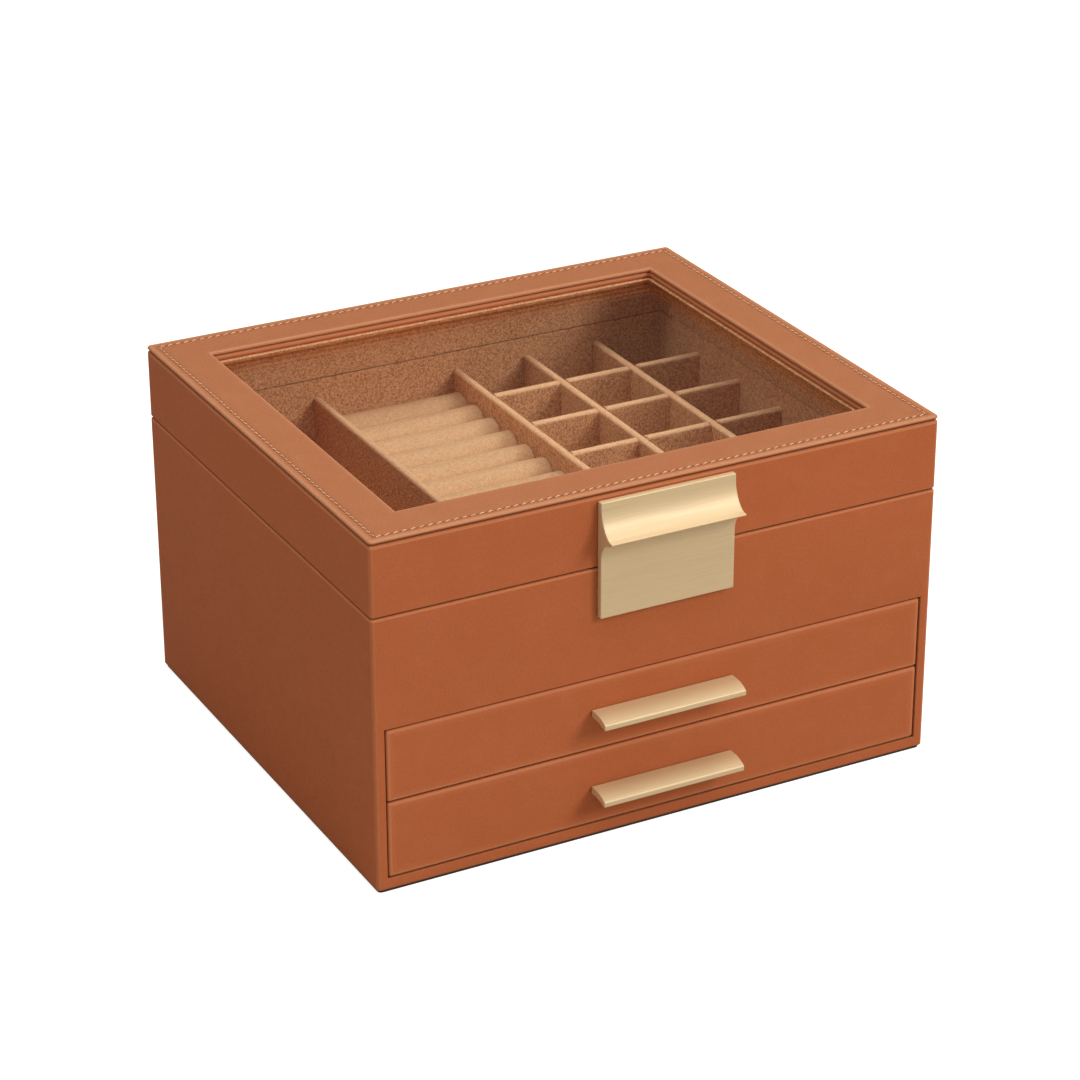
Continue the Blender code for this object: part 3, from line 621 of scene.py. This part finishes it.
# ------------------------------------------------------------------- dividers
DIV_T, DIV_Z0, DIV_Z1 = 3.0, FLOOR + 0.15, 103.6
LONG_X = (-46.7, 14.9, 46.9, 78.9)
CROSS_Y = (-64.07, -32.03, 0.0, 32.03, 64.07)
LAP_Z, PLAY = 86.15, 0.25


def divider(name, centre, length_half, along_y):
    """A board wrapped in velvet: rounded top edge, faint swell, tight ends."""
    bm = bmesh.new()
    edge = bm.verts.layers.float.new("edge")
    painted_crease_shade = bm.verts.layers.float.new("painted_crease_shade")
    ht = DIV_T / 2
    top = []
    rr = 1.05
    for a in range(0, 91, 18):
        top.append((ht - rr + rr * math.cos(math.radians(a)), DIV_Z1 - rr + rr * math.sin(math.radians(a))))
    right = [(ht - 0.02, DIV_Z0), (ht, DIV_Z0 + 0.8), (ht, DIV_Z0 + 8), (ht, 90.0), (ht, DIV_Z1 - rr - 0.6)] + top
    outline = right + [(-x, z) for x, z in reversed(right)]
    n_seg = 44
    rings = []
    for i in range(n_seg + 1):
        s = -length_half + 2 * length_half * i / n_seg
        ring = []
        for x, z in outline:
            u = 0.05 * noise.noise(Vector((centre[0] * 0.1 + s * 0.06, z * 0.08, centre[1] * 0.1)))
            w = x * (1 + u * 0.4) + u * 0.5
            zz = z + (0.06 * noise.noise(Vector((s * 0.11, centre[0] * 0.3, centre[1] * 0.3))) if z > 100 else 0.0)
            p = (centre[0] + w, centre[1] + s, zz) if along_y else (centre[0] + s, centre[1] + w, zz)
            v = bm.verts.new(Vector(p) * MM)
            # painted shade at the divider's foot, painted highlight on its top where the light falls
            v[painted_crease_shade] = 0.5 if z < DIV_Z0 + 0.9 else 0.0
            v[edge] = 1.0 if z > DIV_Z1 - 0.75 else (0.35 if z > DIV_Z1 - 1.3 else 0.0)
            ring.append(v)
        rings.append(ring)
    for a, b in zip(rings, rings[1:]):
        for j in range(len(a)):
            k = (j + 1) % len(a)
            bm.faces.new((a[j], a[k], b[k], b[j]))
    bm.faces.new(rings[0])
    bm.faces.new(rings[-1])
    return finish_mesh(name, bm, VELVET, 50)


for i, x in enumerate(LONG_X):
    ob = divider("tray_divider_long_%d" % (i + 1), (x, 0.0), IY - 0.2, True)
    if i >= 2:
        h = DIV_T / 2 + PLAY
        cut(ob, *[((x - 4, y - h, DIV_Z0 - 4), (x + 4, y + h, LAP_Z + 0.15)) for y in CROSS_Y])
        ob.data.shade_smooth()
        ob.data.set_sharp_from_angle(angle=math.radians(50))
    link_body(ob, "case", "velvet", "divider_long_%d" % (i + 1))
cx0, cx1 = LONG_X[1] + DIV_T / 2 + 0.15, IX - 0.2
for i, y in enumerate(CROSS_Y):
    ob = divider("tray_divider_cross_%d" % (i + 1), ((cx0 + cx1) / 2, y), (cx1 - cx0) / 2, False)
    h = DIV_T / 2 + 0.12
    cut(ob, *[((x - h, y - 4, LAP_Z - 0.15), (x + h, y + 4, DIV_Z1 + 4)) for x in LONG_X[2:]])
    ob.data.shade_smooth()
    ob.data.set_sharp_from_angle(angle=math.radians(50))
    link_body(ob, "case", "velvet", "divider_cross_%d" % (i + 1))

# ---------------------------------------------------------------- ring cushion
ROLLS, PITCH, ROLL_R, CREST = 13, 14.52, 7.5, 96.2


def ring_cushion():
    x0, x1 = LONG_X[0] + DIV_T / 2 + 0.2, LONG_X[1] - DIV_T / 2 - 0.2
    y_end = IY - 0.2
    base_z = DIV_Z0 + 0.1
    nx = 56
    per = 14
    bm = bmesh.new()
    painted_crease_shade = bm.verts.layers.float.new("painted_crease_shade")
    rows = []
    xs = []
    for i in range(nx + 1):
        t = i / nx
        xs.append(x0 + (x1 - x0) * (0.5 - 0.5 * math.cos(math.pi * t)) * 0.7 + (x1 - x0) * t * 0.3)
    for k in range(ROLLS):
        yc = (k - (ROLLS - 1) / 2) * PITCH
        for s in range(per + 1):
            if k > 0 and s == 0:
                continue
            a = math.radians(-83 + 166.0 * s / per)
            rows.append((k, yc, a, s == 0 or s == per))
    grid = []
    for k, yc, a, valley in rows:
        line = []
        for x in xs:
            near = min(x - x0, x1 - x)
            end = math.sqrt(max(0.0, 1 - (1 - min(near / 0.7, 1.0)) ** 2))
            wob = 0.20 * noise.noise(Vector((x * 0.10, k * 3.7, 0.3))) + 0.10 * noise.noise(Vector((x * 0.33, k * 5.1, a)))
            r = ROLL_R + wob - 0.35 * (1 - end)
            y = yc + 0.96 * r * math.sin(a) + 0.18 * noise.noise(Vector((x * 0.08, k * 2.2, 7.1)))
            z = (CREST - ROLL_R) + r * math.cos(a) + 0.12 * noise.noise(Vector((x * 0.12, k * 1.3, 2.0)))
            if valley:
                y = yc + math.copysign(PITCH / 2, a)
                z = CREST - ROLL_R - 0.6 + 0.25 * noise.noise(Vector((x * 0.2, y, 1.0)))
            y = min(max(y, -y_end), y_end)
            v = bm.verts.new(Vector((x, y, z)) * MM)
            # painted shade in the valleys and down the flanks of each roll
            v[painted_crease_shade] = 0.9 if valley else max(0.0, (abs(math.degrees(a)) - 62) / 30)
            line.append(v)
        grid.append(line)
    for a_, b_ in zip(grid, grid[1:]):
        for j in range(nx):
            bm.faces.new((a_[j], a_[j + 1], b_[j + 1], b_[j]))
    rim = [grid[0][j] for j in range(nx + 1)] + [g[-1] for g in grid[1:]] + \
        [grid[-1][j] for j in range(nx - 1, -1, -1)] + [g[0] for g in reversed(grid[1:-1])]
    low = []
    for v in rim:
        w = bm.verts.new(Vector((v.co.x, v.co.y, base_z * MM)))
        low.append(w)
    for j in range(len(rim)):
        k = (j + 1) % len(rim)
        bm.faces.new((rim[j], low[j], low[k], rim[k]))
    bm.faces.new(low)
    ob = finish_mesh("ring_rolls", bm, ROLL_VELVET, 62)
    return ob


rolls = ring_cushion()
link_body(rolls, "case", "ring_velvet", "ring_cushion")

# ------------------------------------------------------------- lid: glass + trim
# painted highlight (third value) on the trim's rounded edge
prof = [(0.0, 133.0), (0.0, 133.8)] + [(d, z, 0.15) for d, z in arc(5.75, 133.4, 0.4, 90, -90, 5)]
loops = [(101.5 - d, 86.5 - d, 0.6, z, *rest) for d, z, *rest in prof]
gasket = sweep("window_trim", loops, VELVET, closed=True)
link_body(gasket, "lid", "velvet", "window_gasket")

g = 0.25
loops = [(101.5 - g, 86.5 - g, 0.8, 130.95), (101.5, 86.5, 1.0, 130.95 + g), (101.5, 86.5, 1.0, 132.95 - g), (101.5 - g, 86.5 - g, 0.8, 132.95)]
pane = sweep("window_glass", loops, GLASS, smooth_angle=30)
link_body(pane, "lid", "glass", "glass_pane")

prof = [(0.0, 111.4), (0.0, 130.8), (12.25, 130.8)]
prof += [(d, z) for d, z in arc(12.25, 130.1, 0.4, 60, -60, 4)]
# painted shade (fourth value) on the lower step of the lining
prof += [(12.1, 129.4), (2.6, 129.4), (1.9, 129.2, 0, 0.5), (1.55, 128.6, 0, 0.4), (1.55, 127.5), (1.55, 113.0)]
prof += [(d, z) for d, z in arc(1.30, 111.65, 0.25, 0, -90, 4)]
loops = [(111.15 - d, 96.15 - d, 0.5, z, *rest) for d, z, *rest in prof]
lid_velvet = sweep("lid_velvet", loops, VELVET, closed=True, smooth_angle=55)
link_body(lid_velvet, "lid", "velvet", "lid_lining")


# ------------------------------------------------------------- extruded hardware
def extrude_x(name, outline, x0, x1, mat, end_bevel=0.3, edge_bevel_angle=24.0, width=0.3):
    """Extrudes a closed (y, z) outline along X and softens every real corner."""
    bm = bmesh.new()
    a = [bm.verts.new(Vector((x0, y, z)) * MM) for y, z in outline]
    b = [bm.verts.new(Vector((x1, y, z)) * MM) for y, z in outline]
    for i in range(len(a)):
        j = (i + 1) % len(a)
        bm.faces.new((a[i], a[j], b[j], b[i]))
    bm.faces.new(a)
    bm.faces.new(b)
    bmesh.ops.recalc_face_normals(bm, faces=bm.faces)
    sharp = []
    for e in bm.edges:
        if len(e.link_faces) == 2 and e.calc_face_angle() > math.radians(edge_bevel_angle):
            sharp.append(e)
    bmesh.ops.bevel(bm, geom=sharp, offset=width * MM, segments=3, profile=0.5, affect='EDGES', clamp_overlap=True)
    ob = finish_mesh(name, bm, mat, 40)
    mod = ob.modifiers.new("wn", "WEIGHTED_NORMAL")
    mod.keep_sharp = True
    return ob


def latch_outline():
    back, front = -100.3, -102.8
    top, bottom = 134.5, 89.6
    pts = [(back, bottom), (back, top), (front, top)]
    a, b = 9.6, 11.6
    y_c, z_c = front - a, 132.6
    steps = 22
    for s in range(1, steps + 1):
        t = math.radians(66.0) * s / steps
        pts.append((y_c + a * math.cos(t), z_c - b * math.sin(t)))
    pts.append((-110.68, 121.75))
    pts.append((-110.5, 121.15))
    f_y, f_z, f_r = -108.6, 112.2, 5.8
    for s in range(0, 17):
        t = math.radians(78.0 * (1 - s / 16.0))
        pts.append((min(f_y + f_r * math.cos(t), front), f_z + 1.323 * f_r * math.sin(t)))
    pts.append((front, bottom))
    clean = []
    for p in pts:
        if not clean or math.dist(clean[-1], p) > 0.05:
            clean.append(p)
    return clean


latch = extrude_x("latch", latch_outline(), -27.25, 27.25, BRASS, width=0.55)
cut_latch = latch
link_body(latch, "lid", "brass", "latch_plate")


def handle_outline(top):
    y0 = -100.3
    upper = [(y0, top), (-102.6, top)]
    # roll down to the front edge on a smooth curve
    for i in range(1, 13):
        t = i / 12
        y = -102.6 - 7.5 * t
        z = top - 1.85 * t ** 2.35
        upper.append((y, z))
    lower = [(-110.3, top - 2.3), (-110.3, top - 3.85), (-109.8, top - 4.05)]
    for i in range(1, 9):
        t = i / 8
        lower.append((-109.8 + (109.8 - 103.0) * t, top - 4.05 + 1.2 * (1 - (1 - t) ** 2)))
    lower.append((y0, top - 2.82))
    return upper + lower


for word, top in (("upper", 52.6), ("lower", 21.3)):
    pull = extrude_x(word + "_pull", handle_outline(top), -29.25, 29.25, BRASS, width=0.25)
    link_body(pull, word + "_drawer", "brass", word + "_handle")


# ------------------------------------------------------------- drawer interiors
def open_tray(name, hx, y0, y1, z0, z1, wall, floor, mat, rim=0.4, painted_crease_shade=0.5):
    cy, hy = (y0 + y1) / 2, (y1 - y0) / 2
    loops = [(hx - 0.2, hy - 0.2, 0.4, z0), (hx, hy, 0.6, z0 + 0.2), (hx, hy, 0.6, z1 - rim)]
    rr = wall / 2
    for i in range(0, 9):
        a = math.pi - math.pi * i / 8
        d = rr + rr * math.cos(a)
        loops.append((hx - d, hy - d, 0.6 if d < rr else 0.4, z1 - rim + rim * math.sin(a)))
    loops += [(hx - wall, hy - wall, 0.4, z1 - rim - 1.0), (hx - wall, hy - wall, 0.4, z0 + floor + 1.6)]
    for i in range(5):
        a = math.radians(180 + 90 * i / 4)
        d = wall + 0.9 + 0.9 * math.cos(a)
        # painted shade in the corner between wall and floor
        loops.append((hx - d, hy - d, 0.4, z0 + floor + 0.9 + 0.9 * math.sin(a), 0, painted_crease_shade))
    loops.append((hx - wall - 3, hy - wall - 3, 0.4, z0 + floor))
    return sweep(name, loops, mat, place=lambda x, y, z: (x, y + cy, z), smooth_angle=55)


for word, bz0, bz1 in (("upper", 37.8, 62.0), ("lower", 5.45, 33.8)):
    body = word + "_drawer"
    tray = open_tray(word + "_tray_velvet", 107.05, -91.75, 88.35, bz0 + 2.15, bz1 - 0.1, 0.9, 0.9, VELVET, 0.35)
    link_body(tray, body, "velvet", word + "_drawer_lining")
divd = box_object("upper_tray_divider", (-1.5, -90.65, 40.99), (1.5, 87.25, 59.9), VELVET)
bevel_edges(divd, lambda a, b: a.z > 59 and b.z > 59 and abs(a.y - b.y) > 10, 1.0, 5)
link_body(divd, "upper_drawer", "velvet", "upper_drawer_divider")

# ---------------------------------------------------------- carried-over CAD nodes
FINISH = {
    "base_felt": FELT, "glass_pane": GLASS,
    "bottom_board": PAPER, "side_board_left": PAPER, "side_board_right": PAPER, "back_board": PAPER,
    "front_rail": BOARD, "compartment_floor": PAPER, "drawer_shelf": PAPER,
    "lid_core": BOARD, "lid_frame_board": BOARD,
    "upper_drawer_box": PAPER, "lower_drawer_box": PAPER,
    "catch_plate": STEEL, "latch_magnet": STEEL,
}
for name, ob in frame["nodes"].items():
    if ob.hide_render:
        continue
    mat = FINISH.get(name)
    if mat is None:
        if name.startswith("hinge") and not name.endswith("pin"):
            mat = HINGE_BRASS
        elif "screw" in name or name.endswith("pin"):
            mat = STEEL
        else:
            mat = BOARD
    ob.data.materials.clear()
    ob.data.materials.append(mat)
    ob.data.shade_smooth()
    ob.data.set_sharp_from_angle(angle=math.radians(32))
    if name in ("upper_drawer_box", "lower_drawer_box", "drawer_shelf", "compartment_floor", "base_felt"):
        soft_bevel(ob, 0.4, 2, 50)
    elif name.endswith("leaf"):
        soft_bevel(ob, 0.12, 2, 45)

# ---------------------------------------------------------------- floor and light
bm = bmesh.new()
bmesh.ops.create_grid(bm, x_segments=2, y_segments=2, size=30.0)
floor = finish_mesh("floor", bm, None) if False else None
me = bpy.data.meshes.new("floor")
bm.to_mesh(me)
bm.free()
floor = bpy.data.objects.new("floor", me)
LOOK.objects.link(floor)
fm = bpy.data.materials.new("floor_white")
fm.use_nodes = True
fnt = fm.node_tree
fb = fnt.nodes["Principled BSDF"]
fb.inputs["Base Color"].default_value = (0.55, 0.535, 0.505, 1)
fb.inputs["Roughness"].default_value = 0.9
fb.inputs["Specular IOR Level"].default_value = 0.0
glow = fnt.nodes.new("ShaderNodeEmission")
glow.inputs[0].default_value = (1, 1, 0.995, 1)
glow.inputs[1].default_value = 0.80
both = fnt.nodes.new("ShaderNodeAddShader")
fnt.links.new(fb.outputs[0], both.inputs[0])
fnt.links.new(glow.outputs[0], both.inputs[1])
dim = fnt.nodes.new("ShaderNodeBsdfDiffuse")
dim.inputs[0].default_value = (0.34, 0.34, 0.335, 1)
fpath = fnt.nodes.new("ShaderNodeLightPath")
fgloss = fnt.nodes.new("ShaderNodeMixShader")
fnt.links.new(fpath.outputs["Is Glossy Ray"], fgloss.inputs[0])
fnt.links.new(fb.outputs[0], fgloss.inputs[1])
fnt.links.new(dim.outputs[0], fgloss.inputs[2])
fmix = fnt.nodes.new("ShaderNodeMixShader")
fseen = fnt.nodes.new("ShaderNodeMath")
fseen.operation = "MAXIMUM"
fnt.links.new(fpath.outputs["Is Camera Ray"], fseen.inputs[0])
fnt.links.new(fpath.outputs["Is Transmission Ray"], fseen.inputs[1])
fnt.links.new(fseen.outputs[0], fmix.inputs[0])
fnt.links.new(fgloss.outputs[0], fmix.inputs[1])
fnt.links.new(both.outputs[0], fmix.inputs[2])
fnt.links.new(fmix.outputs[0], fnt.nodes["Material Output"].inputs[0])
me.materials.append(fm)

world = bpy.data.worlds.new("studio")
SCENE.world = world
world.use_nodes = True
wn = world.node_tree


def sky(strength, colour=(1.0, 1.0, 0.995)):
    n = wn.nodes.new("ShaderNodeBackground")
    n.inputs[0].default_value = (*colour, 1.0)
    n.inputs[1].default_value = strength
    return n


def either(fac, a, b):
    n = wn.nodes.new("ShaderNodeMixShader")
    wn.links.new(fac, n.inputs[0])
    wn.links.new(a, n.inputs[1])
    wn.links.new(b, n.inputs[2])
    return n.outputs[0]


def wmath(op, a, b):
    n = wn.nodes.new("ShaderNodeMath")
    n.operation = op
    for i, v in enumerate((a, b)):
        if isinstance(v, float):
            n.inputs[i].default_value = v
        else:
            wn.links.new(v, n.inputs[i])
    return n.outputs[0]


# white backdrop, an even dome for fill, and a softer horizon for mirror-like reflections
lp = wn.nodes.new("ShaderNodeLightPath")
tex = wn.nodes.new("ShaderNodeTexCoord")
split = wn.nodes.new("ShaderNodeSeparateXYZ")
wn.links.new(tex.outputs["Generated"], split.inputs[0])
height = wn.nodes.new("ShaderNodeMapRange")
for i, x in zip((1, 2, 3, 4), (0.45, 0.85, 0.0, 1.0)):
    height.inputs[i].default_value = x
wn.links.new(split.outputs[2], height.inputs[0])
glossy = either(height.outputs[0], sky(0.04).outputs[0], sky(0.90).outputs[0])
# a ray through the pane sees the backdrop when it heads down, the dome when it heads up
down = wmath("MULTIPLY", lp.outputs["Is Transmission Ray"], wmath("LESS_THAN", split.outputs[2], 0.02))
direct = wmath("MAXIMUM", lp.outputs["Is Camera Ray"], down)
fill = either(wmath("MAXIMUM", lp.outputs["Is Glossy Ray"], lp.outputs["Is Transmission Ray"]), sky(0.51, (1.0, 0.94, 0.86)).outputs[0], glossy)
shown = either(direct, fill, sky(1.0).outputs[0])
wn.nodes.remove(wn.nodes["Background"])
wn.links.new(shown, wn.nodes["World Output"].inputs[0])


def area_light(name, loc, target, size, power, colour=(1, 1, 1), size_y=None):
    data = bpy.data.lights.new(name, "AREA")
    data.shape = "RECTANGLE"
    data.size = size
    data.size_y = size_y or size
    data.energy = power
    data.color = colour
    ob = bpy.data.objects.new(name, data)
    LOOK.objects.link(ob)
    ob.location = loc
    ob.rotation_euler = (Vector(target) - Vector(loc)).to_track_quat("-Z", "Y").to_euler()
    return ob


area_light("key", (1.68, -2.31, 1.92), (0, 0, 0.07), 1.25, 53.0, (1.0, 0.995, 0.985))
area_light("top_soft", (0.0, -0.05, 1.6), (0, 0, 0.1), 1.3, 11.5, (1.0, 0.99, 0.97))

inside = area_light("tray_fill", (-0.75, -0.25, 1.25), (0.03, 0, 0.1), 0.5, 4.2, (1.0, 0.97, 0.93))
lit = bpy.data.collections.new("tray_fill_receivers")
for ob in LOOK.objects:
    if ob.name in ("compartment_velvet", "lid_velvet") or \
            ob.name.startswith(("tray_divider_cross", "tray_divider_long_2", "tray_divider_long_3", "tray_divider_long_4")):
        lit.objects.link(ob)
inside.light_linking.receiver_collection = lit

SCENE.view_settings.view_transform = "Standard"
SCENE.view_settings.look = "None"
SCENE.view_settings.exposure = 0.0
SCENE.view_settings.gamma = 1.0

# ------------------------------------------------------------------------ camera
cam_data = bpy.data.cameras.new("camera")
cam = bpy.data.objects.new("camera", cam_data)
LOOK.objects.link(cam)
az, pitch, roll = 0.4855, 0.4433, -0.0022
fwd = Vector((math.sin(az) * math.cos(pitch), math.cos(az) * math.cos(pitch), -math.sin(pitch)))
right = Vector((math.cos(az), -math.sin(az), 0.0))
up = right.cross(fwd)
r2 = right * math.cos(roll) + up * math.sin(roll)
u2 = -right * math.sin(roll) + up * math.cos(roll)
rot = Matrix((r2, u2, -fwd)).transposed()
cam.matrix_world = Matrix.Translation((-0.5418, -1.0323, 0.6250)) @ rot.to_4x4()
cam_data.sensor_width = 36.0
cam_data.lens = 3372.1 / 1080.0 * 36.0
cam_data.clip_start, cam_data.clip_end = 0.01, 100.0
SCENE.camera = cam

bpy.context.view_layer.update()
